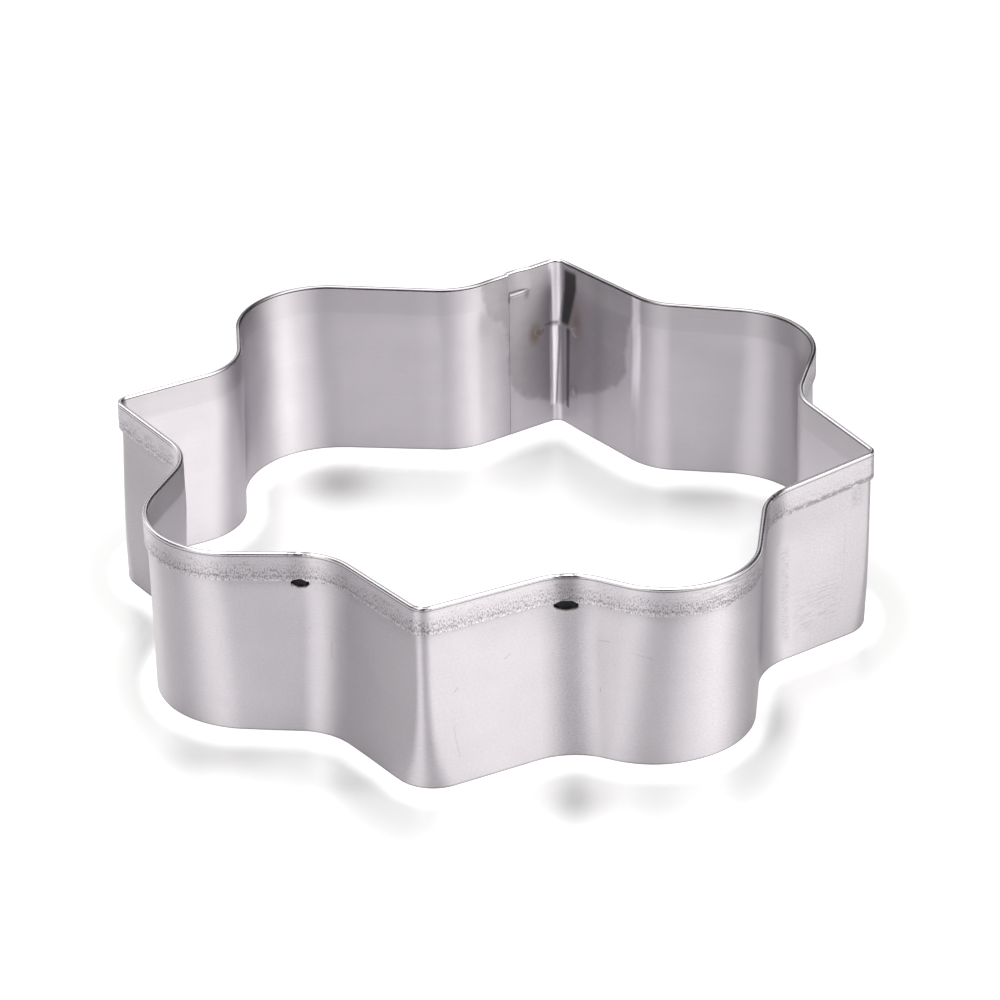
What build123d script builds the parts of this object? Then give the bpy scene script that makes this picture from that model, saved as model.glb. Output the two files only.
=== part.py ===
"""A pastry cutter bent from one hemmed strip of thin stainless steel.

Four sharp tips stand a quarter turn apart, with a round lobe between each
pair. The strip's two ends lap behind the rear tip and are spot-welded there.
Millimetres, +Z up. The cutting edge lies on z = 0, and the rear tip points
along +Y.
"""
from build123d import *

import os
from math import cos, radians, sin

# Overall size
corner_reach = 48.5      # centre to the point where a tip's two flanks would meet, inside
bend_depth = 9.9         # how much closer to the centre the inward bends lie
lobe_rise = 7.0          # how much further out the sides of a lobe would meet
cutter_height = 25.0

# Sheet and hem
sheet = 0.3              # thickness of the strip
hem_height = 3.9         # how far the folded flap hangs down
hem_pocket = 0.1         # air left between the flap and the wall

# Bend radii, inside the sheet
rim_corner_radius = 1.0  # the hem keeps a tip sharp
foot_corner_radius = 5.0  # the free edge springs open to a softer tip
lobe_radius = 11.0
foot_lobe_radius = 12.4
rim_bend_radius = 9.0    # the stiff hem bridges an inward bend
recess_bend_radius = 6.5  # the wall just below it follows the bend more closely
foot_bend_radius = 9.0
recess_drop = 1.4        # height over which the wall draws in under the hem
foot_splay = 1.0         # how far the free edge springs outwards, times its shares

# Lap behind the rear tip
lap_gap = 0.06           # air between the two layers
inner_reach = 8.2        # the inner end runs this far past the tip
outer_reach = 7.0        # the outer end runs this far past it the other way
butt_gap = 0.25          # between the two cut ends of the hem
joggle_start = 0.5       # from the butt to the start of the outward step
joggle_length = 2.4
joggle_radius = 1.0
slit_length = 4.2        # the inner end is slit this far, under its hem
slit_drop = 3.0          # depth of the slit below the rim
slit_jog = 0.5           # length of the step at the closed end of the slit
slit_radius = 0.1
tab_clearance = 0.15     # from the outer tab up to the hem above it

# Spot welds
weld_diameter = 1.9
weld_dimple = 0.07       # depth of the electrode's mark
weld_overrun = 2.0       # how far a weld's seat is cut past the sheets
upper_weld_drop = 6.1    # below the hem line
lower_weld_height = 5.8
left_weld_reach = 2.9    # along the left flank, from the tip
right_weld_reach = 3.2   # along the right flank

# The strip is bent by hand round a former, so no two tips or lobes are quite alike.
# Each row runs rear, left, front, right. Going anticlockwise, a tip is followed by the
# bend that leaves it, a lobe, and the bend that arrives at the next tip.
corner_reach_shares = (1.023, 1.018, 0.972, 0.992)
corner_drift_angles = (0.5, 0.2, -0.4, 0.0)
lobe_reach_shares = (0.994, 1.020, 1.023, 0.957)
lobe_drift_angles = (4.6, -1.3, -2.9, -0.7)
leaving_reach_shares = (1.022, 1.003, 0.996, 1.018)
leaving_swing_angles = (17.1, 20.2, 23.6, 20.8)
arriving_reach_shares = (0.973, 0.981, 1.005, 1.043)
arriving_swing_angles = (18.0, 21.2, 20.7, 21.0)
corner_splay_shares = (0.4, 2.4, 1.6, 1.1)
leaving_splay_shares = (1.0, 1.0, 1.0, 0.3)
lobe_splay_shares = (0.5, -0.6, -0.3, 1.3)
arriving_splay_shares = (0.6, 1.0, -0.4, -0.7)
foot_corner_radius_shares = (0.4, 1.0, 1.0, 1.0)   # the welds keep the rear tip from opening
run_room_share = 0.98    # most of a straight run that its two arcs may take

tips = 4
quarter = 360 / tips
rear_bearing = 90

# Sizes that follow
bend_reach = corner_reach - bend_depth
lobe_reach = corner_reach + lobe_rise
lap_step = sheet + lap_gap
hem_depth = sheet + hem_pocket + sheet
hem_line = cutter_height - hem_height
recess_line = hem_line - recess_drop
slit_line = cutter_height - slit_drop
tab_top = hem_line - tab_clearance
upper_weld_height = hem_line - upper_weld_drop
butt_reach = inner_reach + butt_gap
joggle_outer = butt_reach + joggle_start
joggle_inner = joggle_outer + joggle_length

# Levels of the wall: radii of the tips, bends and lobes, and the splay
rim = (rim_corner_radius, rim_bend_radius, lobe_radius)
recess = (rim_corner_radius, recess_bend_radius, lobe_radius)
foot = (foot_corner_radius, foot_bend_radius, foot_lobe_radius, foot_splay,
        foot_corner_radius_shares)


def polar(reach, bearing):
    """A point in plan, from its distance to the centre and its bearing."""
    return Vector(reach * cos(radians(bearing)), reach * sin(radians(bearing)))


def loop(tip_radius, bend_radius, lobe_radius, splay=0, tip_radius_shares=(1,) * tips):
    """The sixteen turning points of the closed outline from the rear tip, and their radii."""
    points, radii = [], []
    for i in range(tips):
        tip, lobe, next_tip = (rear_bearing + quarter * (i + turn) for turn in (0, 1 / 2, 1))
        stops = (
            (corner_reach * corner_reach_shares[i] + splay * corner_splay_shares[i],
             tip + corner_drift_angles[i], tip_radius * tip_radius_shares[i]),
            (bend_reach * leaving_reach_shares[i] + splay * leaving_splay_shares[i],
             tip + leaving_swing_angles[i], bend_radius),
            (lobe_reach * lobe_reach_shares[i] + splay * lobe_splay_shares[i],
             lobe + lobe_drift_angles[i], lobe_radius),
            (bend_reach * arriving_reach_shares[i] + splay * arriving_splay_shares[i],
             next_tip - arriving_swing_angles[i], bend_radius),
        )
        for reach, bearing, radius in stops:
            points.append(polar(reach, bearing))
            radii.append(radius)
    return points, radii


def cross(a, b):
    """How far b turns to the left of a."""
    return a.X * b.Y - a.Y * b.X


def right_of(direction):
    """The side of a run that faces out of the outline."""
    return Vector(direction.Y, -direction.X)


def roomy(points, radii):
    """The radii of an open path, reduced where two neighbouring arcs don't fit on their run.

    An arc that the hem follows is never made tighter than the hem is deep.
    """
    runs = [b - a for a, b in zip(points, points[1:])]
    ways = [run.normalized() for run in runs]
    tangents = [radius * abs(cross(before, after)) / (1 + before.dot(after))
                for radius, before, after in zip(radii, ways, ways[1:])]
    needs = [a + b for a, b in zip([0] + tangents, tangents + [0])]
    factors = [min(1, run.length * run_room_share / need) if need else 1
               for run, need in zip(runs, needs)]
    tightest = hem_depth + slit_radius
    return [max(radius * min(pair), min(radius, tightest))
            for radius, pair in zip(radii, zip(factors, factors[1:]))]


def parallel(points, radii, distance):
    """An open run of turning points moved outwards by a distance, with radii that follow."""
    runs = [(b - a).normalized() for a, b in zip(points, points[1:])]
    moved, turned = [points[0] + right_of(runs[0]) * distance], []
    for before, after, point, radius in zip(runs, runs[1:], points[1:], radii):
        spread = right_of(before) + right_of(after)
        moved.append(point + spread * (distance / (1 + before.dot(after))))
        turned.append(radius + distance if cross(before, after) > 0 else radius - distance)
    moved.append(points[-1] + right_of(runs[-1]) * distance)
    return moved, turned


def band(path, inside, outside, height):
    """The level face between two parallels of an open path."""
    near_points, near_radii = parallel(*path, inside)
    far_points, far_radii = parallel(*path, outside)
    near = FilletPolyline(*near_points, radius=near_radii)
    far = FilletPolyline(*far_points, radius=far_radii)
    ends = Line(near_points[0], far_points[0]) + Line(near_points[-1], far_points[-1])
    return Pos(0, 0, height) * make_face((near + far + ends).edges())


def strip_paths(level):
    """Paths of the wall, the rim and the outer tab, for one level of the cutter.

    Each starts at the strip's outer end, behind the rear tip, and runs
    anticlockwise. The rim's path steps outwards again over the slit.
    """
    points, radii = loop(*level)
    rear, first, last = points[0], points[1], points[-1]
    left = (first - rear).normalized()
    right = (last - rear).normalized()
    step = right_of(left) * lap_step
    joggle = [rear + left * joggle_outer + step, rear + left * joggle_inner]
    lead = [rear + left * butt_reach + step] + joggle + points[1:] + [rear]
    lead_radii = [joggle_radius] * len(joggle) + radii[1:] + radii[:1]
    slit_start = rear + left * (inner_reach - slit_length)
    jog = [slit_start, slit_start + left * slit_jog + step]
    jog_radii = [slit_radius + hem_depth, slit_radius]
    wall = lead + [rear + left * inner_reach]
    rim_path = lead + jog + [rear + left * inner_reach + step]
    tab = [rear + right * outer_reach, rear, rear + left * butt_reach]
    return {
        "wall": (wall, roomy(wall, lead_radii)),
        "rim": (rim_path, roomy(rim_path, lead_radii + jog_radii)),
        "tab": parallel(tab, roomy(tab, radii[:1]), lap_step),
    }


def lofted(path, inside, outside, top):
    """A wall from the splayed foot, through the recess under the hem, up to a level top."""
    foot_face, recess_face, rim_face = (
        band(strip_paths(level)[path], inside, outside, height)
        for level, height in ((foot, 0), (recess, recess_line), (rim, min(hem_line, top)))
    )
    body = loft([foot_face, recess_face], ruled=True) + loft([recess_face, rim_face], ruled=True)
    if top > hem_line:
        body += extrude(rim_face, top - hem_line)
    return body


def hem_section(start, run):
    """The folded edge in section: wall, fold and flap with the pocket between them.

    It stands square to the strip at the start of its path, with the wall's
    lower end on the slit and the flap's on the hem line.
    """
    outward = right_of(run)
    square = Plane(origin=start, x_dir=outward, z_dir=-run)
    fold_outer, fold_inner = hem_depth / 2, hem_pocket / 2
    fold_line = cutter_height - fold_outer
    flap_inside = sheet + hem_pocket
    edges = [
        Line((0, slit_line), (0, fold_line)),
        ThreePointArc((0, fold_line), (fold_outer, cutter_height), (hem_depth, fold_line)),
        Polyline((hem_depth, fold_line), (hem_depth, hem_line), (flap_inside, hem_line),
                 (flap_inside, fold_line)),
        ThreePointArc((flap_inside, fold_line), (fold_outer, fold_line + fold_inner),
                      (sheet, fold_line)),
        Polyline((sheet, fold_line), (sheet, slit_line), (0, slit_line)),
    ]
    return square * make_face(edges)


def build_strip():
    """The whole strip, before its weld seats are cut."""
    points, radii = strip_paths(rim)["rim"]
    section = hem_section(points[0], (points[1] - points[0]).normalized())
    hem = sweep(section, path=FilletPolyline(*points, radius=radii))
    wall = lofted("wall", 0, sheet, slit_line)
    tab = lofted("tab", 0, sheet, tab_top)
    return wall + hem + tab


def weld_seat(side, reach, height):
    """The round hole of one spot weld, square to a flank of the rear tip."""
    points = loop(*rim)[0]
    rear = points[0]
    flank = (points[side] - rear).normalized()
    centre = rear + flank * reach + Vector(0, 0, height)
    depth = lap_step + sheet + weld_overrun * 2
    return Plane(origin=centre, z_dir=right_of(flank)) * Cylinder(weld_diameter / 2, depth)


def build_weld(seat):
    """One weld: both layers and the air between them, less the electrodes' marks."""
    fused = lofted("tab", weld_dimple - lap_step, sheet - weld_dimple, tab_top)
    return fused & seat


def build_cutter():
    """Every piece by its name, with the origin under the middle of the strip's box."""
    next_point, previous_point = 1, -1
    seats = {
        "spot_weld_upper_left": weld_seat(next_point, left_weld_reach, upper_weld_height),
        "spot_weld_upper_right": weld_seat(previous_point, right_weld_reach, upper_weld_height),
        "spot_weld_lower_right": weld_seat(previous_point, right_weld_reach, lower_weld_height),
    }
    strip = build_strip()
    middle = strip.bounding_box().center()
    pieces = {"hemmed_strip": strip - list(seats.values())}
    for name, seat in seats.items():
        pieces[name] = build_weld(seat)
    return {name: Pos(-middle.X, -middle.Y, 0) * piece for name, piece in pieces.items()}


os.makedirs("parts", exist_ok=True)
for name, piece in build_cutter().items():
    print(name, "solids", len(piece.solids()), "valid", piece.is_valid, "volume", round(piece.volume, 3))
    export_step(piece, f"parts/{name}.step")
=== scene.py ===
# %% [markdown]
# # A pastry cutter of hemmed steel strip
# The cutter is one strip of thin stainless steel. Its upper edge is folded over outwards, so
# that it is stiff and safe to press on. Its lower edge is left plain, to cut. The strip is bent
# into a closed outline with four sharp tips and a round lobe between each pair, and its ends
# lap behind the rear tip, where three spot welds hold them.
#
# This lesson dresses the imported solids: the strip is worked out again as one fine surface that
# can carry the small dents and waves of bent sheet, and it gets a steel that shows its rolling.

# %% Load the frame
from math import degrees, pi, radians

import bmesh
import bpy
import numpy as np
from mathutils import Matrix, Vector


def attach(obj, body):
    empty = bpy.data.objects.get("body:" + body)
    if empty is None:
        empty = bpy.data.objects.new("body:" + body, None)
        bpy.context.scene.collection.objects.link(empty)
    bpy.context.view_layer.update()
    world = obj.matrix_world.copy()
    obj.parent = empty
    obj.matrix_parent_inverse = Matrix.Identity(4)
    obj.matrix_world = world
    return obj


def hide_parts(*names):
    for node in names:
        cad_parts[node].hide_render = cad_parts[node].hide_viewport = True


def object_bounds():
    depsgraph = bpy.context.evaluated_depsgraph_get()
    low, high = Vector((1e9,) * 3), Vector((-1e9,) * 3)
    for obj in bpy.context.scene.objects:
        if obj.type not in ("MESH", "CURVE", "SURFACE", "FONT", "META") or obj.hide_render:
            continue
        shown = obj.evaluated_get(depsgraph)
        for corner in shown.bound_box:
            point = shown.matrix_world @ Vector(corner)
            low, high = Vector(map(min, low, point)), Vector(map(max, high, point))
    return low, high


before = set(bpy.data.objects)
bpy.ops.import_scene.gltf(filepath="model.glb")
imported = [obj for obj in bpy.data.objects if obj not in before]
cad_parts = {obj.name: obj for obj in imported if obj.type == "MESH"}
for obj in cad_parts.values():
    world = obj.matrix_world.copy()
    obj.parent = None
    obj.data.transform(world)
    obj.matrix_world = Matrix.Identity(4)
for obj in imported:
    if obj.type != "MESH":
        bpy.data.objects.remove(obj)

MM = 0.001
cad_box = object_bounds()


def in_scene(name, data):
    """Makes an object at the origin from a mesh or a lens, and puts it in the scene."""
    made = bpy.data.objects.new(name, data)
    bpy.context.scene.collection.objects.link(made)
    return made


# %% [markdown]
# ## The camera
# The photographer stood a little to the right of the front tip and looked down by about thirty
# degrees through a long lens, so the outline hardly narrows towards the back. The camera is set
# first, because every later choice is judged through it. It is written as a turn about the
# vertical, a tilt and a small roll, and as the place of the table's centre seen from it. Aimed by
# eye in the viewport, it would leave the edges a few pixels off. These numbers come from a fit
# to points along the rim and the foot.

# %% Camera
camera_turn, camera_tilt, camera_roll = (radians(a) for a in (-10.922, 28.608, -1.228))
table_centre = np.array((-0.566, 11.692, 561.29)) * MM   # right, down and away from the camera
focal_pixels, frame_pixels, sensor_width = 4300.9, 1000, 36.0


def turned(angle, first, second):
    """A rotation in the plane of two axes: cosines on the diagonal and sines across it."""
    matrix = np.eye(3)
    matrix[first, first] = matrix[second, second] = np.cos(angle)
    matrix[first, second], matrix[second, first] = -np.sin(angle), np.sin(angle)
    return matrix


tilt = np.array(((1, 0, 0), (0, -np.sin(camera_tilt), -np.cos(camera_tilt)),
                 (0, np.cos(camera_tilt), -np.sin(camera_tilt))))
to_camera = turned(camera_roll, 0, 1) @ tilt @ turned(camera_turn, 0, 1)
eye = -to_camera.T @ table_centre
lens = bpy.data.cameras.new("studio_camera")
lens.sensor_width = sensor_width
lens.lens = focal_pixels * sensor_width / frame_pixels
camera = in_scene("studio_camera", lens)
axes = Matrix([(to_camera[0][i], -to_camera[1][i], -to_camera[2][i]) for i in range(3)])
camera.matrix_world = Matrix.Translation(eye) @ axes.to_4x4()
bpy.context.scene.camera = camera
bpy.context.scene.view_settings.view_transform = "Standard"
print("camera at", np.round(eye / MM, 1), "mm, lens", round(lens.lens, 1), "mm")

# %% [markdown]
# ## The strip's plan
# On a bench the strip is bent round a former, and the drawing for that is a row of turning
# points: tip, inward bend, lobe, inward bend, four times over. A straight run joins two points
# and an arc rounds each. It could be drawn freehand as a curve, but named reaches and a table of
# shares keep it a drawing, in which each tip, bend and lobe is a little off, as hand-bent ones
# are. The splays say how far the free edge has sprung open at each point.

# %% The turning points
# Millimetres: reaches from the drawing's middle, heights from the foot
corner_reach, bend_reach, lobe_reach = 48.5, 38.6, 55.5
cutter_height, sheet, hem_pocket = 25.0, 0.3, 0.1
hem_depth = sheet * 2 + hem_pocket
hem_line, recess_line, slit_line, tab_top = 21.1, 19.7, 22.0, 20.95
foot_splay = 1.0
rear_bearing, quarter = 90.0, 90.0

# Rows: tip, bend that leaves it, lobe, bend that arrives at the next. Columns: rear, left,
# front, right.
reach_shares = np.array(((1.023, 1.018, 0.972, 0.992), (1.022, 1.003, 0.996, 1.018),
                         (0.994, 1.020, 1.023, 0.957), (0.973, 0.981, 1.005, 1.043)))
splay_shares = np.array(((0.4, 2.4, 1.6, 1.1), (1.0, 1.0, 1.0, 0.3),
                         (0.5, -0.6, -0.3, 1.3), (0.6, 1.0, -0.4, -0.7)))
swings = np.array(((0.5, 0.2, -0.4, 0.0), (17.1, 20.2, 23.6, 20.8),
                   (49.6, 43.7, 42.1, 44.3), (72.0, 68.8, 69.3, 69.0)))
reaches = np.array((corner_reach, bend_reach, lobe_reach, bend_reach))[:, None]


def turning_points(splays):
    """The outline's turning points, anticlockwise from the rear tip.

    Each lies at its reach times its share, plus its splay, and at the bearing of
    its own tip plus its swing.
    """
    reach = reaches * reach_shares + splays
    bearing = np.radians(rear_bearing + quarter * np.arange(4) + swings)
    return np.stack((reach * np.cos(bearing), reach * np.sin(bearing)), axis=-1).transpose(
        1, 0, 2).reshape(-1, 2)


print("turning points", turning_points(0).shape[0])


# %% [markdown]
# ## The strip's path
# A Blender curve with filleted corners could carry the strip, but it would not say which of its
# points belong together at foot and rim. Here every place has a feature number, even for a
# straight run and odd for the arc after it, and a part of that feature. The same numbers give
# matching places on any outline with the same turns.

# %% A path of straight runs and arcs
def right_hand(way):
    """The direction a quarter turn clockwise from a heading, which faces out of the outline."""
    return np.stack((way[..., 1], -way[..., 0]), axis=-1)


def carried(stops, radii, feature, part):
    """Places and outward directions along a path that turns at each inner stop.

    An even feature is a straight run and an odd one the arc that follows it. The
    arc starts radius times tan(half the turn) before its stop. A part from 0 to 1
    says how far along its own feature a place is.
    """
    runs = np.diff(stops, axis=0)
    ways = runs / np.linalg.norm(runs, axis=1, keepdims=True)
    before, after = ways[:-1], ways[1:]
    turn = np.arctan2(before[:, 0] * after[:, 1] - before[:, 1] * after[:, 0],
                      (before * after).sum(axis=1))
    cut = (radii * np.tan(np.abs(turn) / 2))[:, None]
    arc_start, arc_end = stops[1:-1] - before * cut, stops[1:-1] + after * cut
    run_start, run_end = np.vstack((stops[:1], arc_end)), np.vstack((arc_start, stops[-1:]))
    run = feature // 2
    arc = np.minimum(run, len(radii) - 1)
    heading = np.arctan2(before[:, 1], before[:, 0])[arc] + turn[arc] * part
    way = np.stack((np.cos(heading), np.sin(heading)), axis=-1)
    radius = (radii * np.sign(turn))[arc][:, None]
    on_arc = arc_start[arc] + (right_hand(way) - right_hand(before[arc])) * radius
    on_run = run_start[run] + (run_end - run_start)[run] * part[:, None]
    straight = (feature % 2 == 0)[:, None]
    place = np.where(straight, on_run, on_arc)
    return place, np.where(straight, right_hand(ways[run]), right_hand(way))


square_corner = np.array(((0.0, 0.0), (1.0, 0.0), (1.0, 1.0)))
half_way, _ = carried(square_corner, np.array((1.0,)), np.array((1,)), np.array((0.5,)))
print("the middle of a quarter turn is at", np.round(half_way[0], 3))

# %% [markdown]
# ## Columns and rows
# The strip's surface is a grid. Its columns stand along the path, close together where the
# sheet turns sharply and further apart on the flat runs. Its rows climb the wall, go over the
# fold and come down the flap. Because each column is a part of the same run or arc at every
# height, the columns match from foot to rim.

# %% Columns along the strip
# Distances past the rear tip: where the inner and the hidden outer end stop, the slit starts,
# and how long its jog, the fold's step and the joggle are. Then how far apart the layers lie.
inner_reach, outer_reach, butt_gap = 8.2, 7.0, 0.01
butt_reach = inner_reach + butt_gap
slit_start, slit_jog, hem_jog = 4.0, 0.5, 2.8
joggle_length, lap_step = 0.03, 0.36
rim_tips, foot_tips = (1.3, 1.2, 1.5, 0.9), (1.3, 5.0, 5.0, 5.0)


def arc_radii(tips, bend, lobe):
    """Radii of the sixteen turns: a row of tip, bend, lobe and bend for every quarter."""
    rest = np.tile((bend, lobe, bend), (4, 1))
    return np.column_stack((tips, rest)).ravel()


# The ankle is the foot with its tips still tight. It reaches less far there, so that the tips'
# own edges stay straight from foot to rim.
ankle_shares = splay_shares.copy()
ankle_shares[0] = (0.4, 0.8, 0.15, -0.1)
# Each level: the radii of its tips, bends and lobes, and how far it splays. The recess is where
# the wall under the fold is drawn in at the bends, which the folded rim bridges.
levels = {"foot": (arc_radii(foot_tips, 9.0, 12.4), foot_splay * splay_shares),
          "ankle": (arc_radii(rim_tips, 9.0, 12.4), foot_splay * ankle_shares),
          "recess": (arc_radii(rim_tips, 8.0, 11.0), 0 * splay_shares),
          "rim": (arc_radii(rim_tips, 9.0, 11.0), 0 * splay_shares)}
# How many columns each kind of feature gets, and how two runs crowd theirs towards one end
tip_columns, bend_columns, dented_columns, lobe_columns = 14, 26, 46, 36
flank_columns, side_columns, butt_columns, near_hollow_columns = 16, 6, 14, 30
butt_crowding, tip_crowding = 3, 1.6


def flank_point(points, side, reach):
    """A point on a flank of the rear tip, at a distance from where its flanks meet."""
    way = points[side] - points[0]
    return points[0] + way / np.linalg.norm(way) * reach


def split(count):
    """Equal parts of a feature, from 0 up to but not including 1."""
    return np.arange(count) / count


bends = [[bend_columns, bend_columns], [bend_columns, dented_columns],
         [dented_columns, bend_columns], [bend_columns, bend_columns]]
counts = []
for leaving, arriving in bends:
    counts += [flank_columns, leaving, side_columns, lobe_columns, side_columns, arriving,
               flank_columns, tip_columns]
butt_run, hollow_run, last_run = 0, 12, 30
counts[butt_run], counts[hollow_run] = butt_columns, near_hollow_columns
counts[last_run] = butt_columns * 2
feature = np.concatenate([np.full(count, place) for place, count in enumerate(counts)])
parts = [split(count) for count in counts]
parts[butt_run] = parts[butt_run] ** butt_crowding                # closer near the butt
parts[last_run] = 1 - (1 - parts[last_run]) ** tip_crowding      # closer near the rear tip
part = np.concatenate(parts)
print("columns before the lap", len(feature))

# %% [markdown]
# ## Where the ends lap
# Past the rear tip the strip's inner end runs on for 8 mm. It is slit below the fold there, and
# the fold steps out over the lower layer. An array of equal columns would miss the slit's short
# jog, so this run gets its stations by distance from the tip, closest together at the jog.

# %% The last run, past the rear tip
tip_stations, jog_stations, end_stations = 12, 6, 12
rim_points = turning_points(0)
flank_ways = [flank_point(rim_points, side, 1.0) - rim_points[0] for side in (1, -1)]
tip_angle = np.arccos(np.dot(*flank_ways))
rim_tangent = rim_tips[0] / np.tan(tip_angle / 2)
jog_end = slit_start + slit_jog
stations = np.concatenate((np.linspace(rim_tangent, slit_start, tip_stations + 1)[:-1],
                           np.linspace(slit_start, jog_end, jog_stations + 1)[:-1],
                           np.linspace(jog_end, inner_reach, end_stations)))
feature = np.concatenate((feature, np.full(len(stations), len(counts))))
part = np.concatenate((part, (stations - rim_tangent) / (inner_reach - rim_tangent)))
slit_column = len(feature) - end_stations - jog_stations
tip_column = len(feature) - len(stations) - tip_columns // 2
print("rear tip's angle", round(degrees(tip_angle), 1), "columns", len(feature))


# %% [markdown]
# ## The same strip at every height
# The real wall leans and springs, so its plan at the foot is not its plan at the rim. Four
# outlines with matching columns say how it goes, and every height between takes its share of
# them. The tab at the strip's other end gets its four lines in the same way.

# %% Four outlines with matching columns
def main_path(level, feature, part):
    """The strip's inner line at one level, from its outer end right round to its inner end."""
    radii, splays = levels[level]
    points = turning_points(splays)
    stops = np.vstack((flank_point(points, 1, butt_reach), points[1:], points[:1],
                       flank_point(points, 1, inner_reach)))
    return carried(stops, np.roll(radii, -1), feature, part)


def tab_path(level, feature, part):
    """The line of the outer tab round the rear tip, from its free end to the butt."""
    radii, splays = levels[level]
    points = turning_points(splays)
    stops = np.vstack((flank_point(points, -1, outer_reach), points[:1],
                       flank_point(points, 1, butt_reach)))
    return carried(stops, radii[:1], feature, part)


def walked(line):
    """Distance along a line of points: the steps' lengths added up, from nothing."""
    return np.concatenate(([0], np.cumsum(np.linalg.norm(np.diff(line, axis=0), axis=1))))


main_lines = {level: main_path(level, feature, part) for level in levels}
tab_counts = (14, 14, 16)
tab_feature = np.append(np.repeat(np.arange(3), tab_counts), 2)
tab_part = np.append(np.concatenate([split(count) for count in tab_counts]), 1.0)
tab_lines = {level: tab_path(level, tab_feature, tab_part) for level in levels}
along = butt_reach + walked(main_lines["rim"][0])
tip_along = along[tip_column]
from_seam = np.where(along > tip_along / 2, along - tip_along, along)
tab_along = walked(tab_lines["rim"][0])
tab_along = tab_along - tab_along[-1] + butt_reach
print("strip is", round(along[-1] - along[0], 1), "mm long round the rim")

# %% [markdown]
# ## The hemmed section
# The edge of the real strip is folded down outside and pressed nearly flat. The section is one
# closed ring: up the inner face, over the crest, down the flap, round its cut lip, up again in
# the fold's narrow pocket and down the wall's outer face to the foot. A profile extruded along
# a curve could not open towards the foot as this wall does, so the ring is kept as two rows of
# numbers, how far out and how high, and the plan is worked out at each height. Rows lie close
# where the wall turns or a cut edge shows.

# %% Rows across the strip
wall_rows = np.array((0.05, 0.5, 1.2, 2.2, 3.4, 4.6, 5.8, 7.0, 8.5, 10.0, 11.5, 13.0, 14.2,
                      15.4, 16.6, 17.6, 18.4, 19.0, 19.4, 19.6, 19.7, 19.8, 19.9, 20.0, 20.12,
                      20.25, 20.4, 20.55, 20.7, 20.83, tab_top, hem_line, 21.4, 21.7,
                      slit_line, 22.6, 23.2, 23.8, 24.3))
flap_rows = np.array((24.4, 24.1, 23.7, 23.3, 22.9, 22.5, 22.1, 21.8, 21.5, 21.35, 21.25))
fold_line, foot_break = cutter_height - hem_depth / 2, 0.05
fold, lip = np.linspace(pi, 0, 13), np.radians((-36, -72, -108, -144))


def section(wall_offset, fold_reach, flap_offset):
    """One face of the sheet, as offsets and heights: up the wall, half a circle over the fold,
    and down the flap. The circle's radius is the fold's reach."""
    offset = np.concatenate((np.full(len(wall_rows), wall_offset),
                             hem_depth / 2 + fold_reach * np.cos(fold),
                             np.full(len(flap_rows), flap_offset)))
    return offset, np.concatenate((wall_rows, fold_line + fold_reach * np.sin(fold), flap_rows))


show_offset, show_height = section(0, hem_depth / 2, hem_depth)
back_offset, back_height = section(sheet, hem_pocket / 2, sheet + hem_pocket)
lip_offset = hem_depth - sheet / 2 + sheet / 2 * np.cos(lip)
lip_height = flap_rows[-1] + sheet / 2 * np.sin(lip)
ring_offset = np.concatenate((show_offset, lip_offset, back_offset[::-1],
                              (sheet - foot_break, foot_break)))
ring_height = np.concatenate((show_height, lip_height, back_height[::-1], (0, 0)))
ring_walk = walked(np.column_stack((ring_offset, ring_height)))
rows, ring = len(show_offset), len(ring_offset)
slit_row, tab_row = list(wall_rows).index(slit_line), list(wall_rows).index(tab_top)
lip_start, lip_end = rows - 1, rows + len(lip)
crest_start, crest_end = ring_walk[len(wall_rows)], ring_walk[len(wall_rows) + len(fold) - 1]
print("rows", rows, "points round one section", ring)


# %% [markdown]
# ## Bent sheet is never quite flat
# Hand-bent strip has long shallow waves, more at the free edge than at the stiff fold. Where an
# inward bend meets the fold, the bending tool leaves a small hollow, shaped like a lens, with a
# crisp lower edge. A noise texture on a Displace modifier would move the surface everywhere
# alike. Here both are formulas of the place along the strip and the height, and move the
# surface along its own outward direction.

# %% Waves and hollows
def smooth(value):
    """A ramp from 0 to 1 with level ends: three value squared less two value cubed."""
    value = np.clip(value, 0, 1)
    return value * value * (3 - 2 * value)


wave_lengths, wave_depths = (47.0, 23.0, 11.5, 7.1), (0.035, 0.030, 0.014, 0.006)
wave_starts, wave_leans = (0.4, 2.1, 4.4, 1.3), (0.06, -0.15, 0.2, -0.35)
fold_stiffness = 0.75                    # the share of the waves that the fold holds back
# Each hollow: where along the strip, half its width, its middle height, half its height, depth
hollows = ((138.45, 1.15, 20.70, 0.74, 0.5), (178.35, 1.55, 20.70, 0.90, 0.55))
hollow_wall = 0.15                       # the share of the ellipse in which it gets its depth
hollow_top, top_fade = 21.5, 0.3         # above this, behind the fold's lip, there is none


def hollow(along, height, centre, half_width, middle, half_height):
    """One in a hollow's middle, nothing on the ellipse that bounds it, negative outside."""
    return 1 - np.hypot((along - centre) / half_width, (height - middle) / half_height)


def swell(along, height):
    """How far the sheet stands out: sines along the strip that fade towards the fold, less the
    hollows. A hollow has full depth inside an ellipse, and the fold's lip covers its top."""
    out = sum(depth * np.sin(2 * pi * (along + lean * height) / length + start)
              for length, depth, start, lean in zip(wave_lengths, wave_depths, wave_starts,
                                                    wave_leans))
    out = out * (1 - fold_stiffness * smooth(height / hem_line))
    for *shape, depth in hollows:
        out = out - depth * smooth(hollow(along, height, *shape) / hollow_wall) * smooth(
            (hollow_top - height) / top_fade)
    return out


print("foot swells by up to", round(float(np.abs(swell(along, 0.0)).max()), 3), "mm")

# %% [markdown]
# ## From plan and section to points
# A Blender mesh needs a place for each point. One function gives them all at once, as an array
# of columns by rows: the plan at the row's height, and a move outwards by the section's offset,
# by the step of the layer and by the swell.

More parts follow.
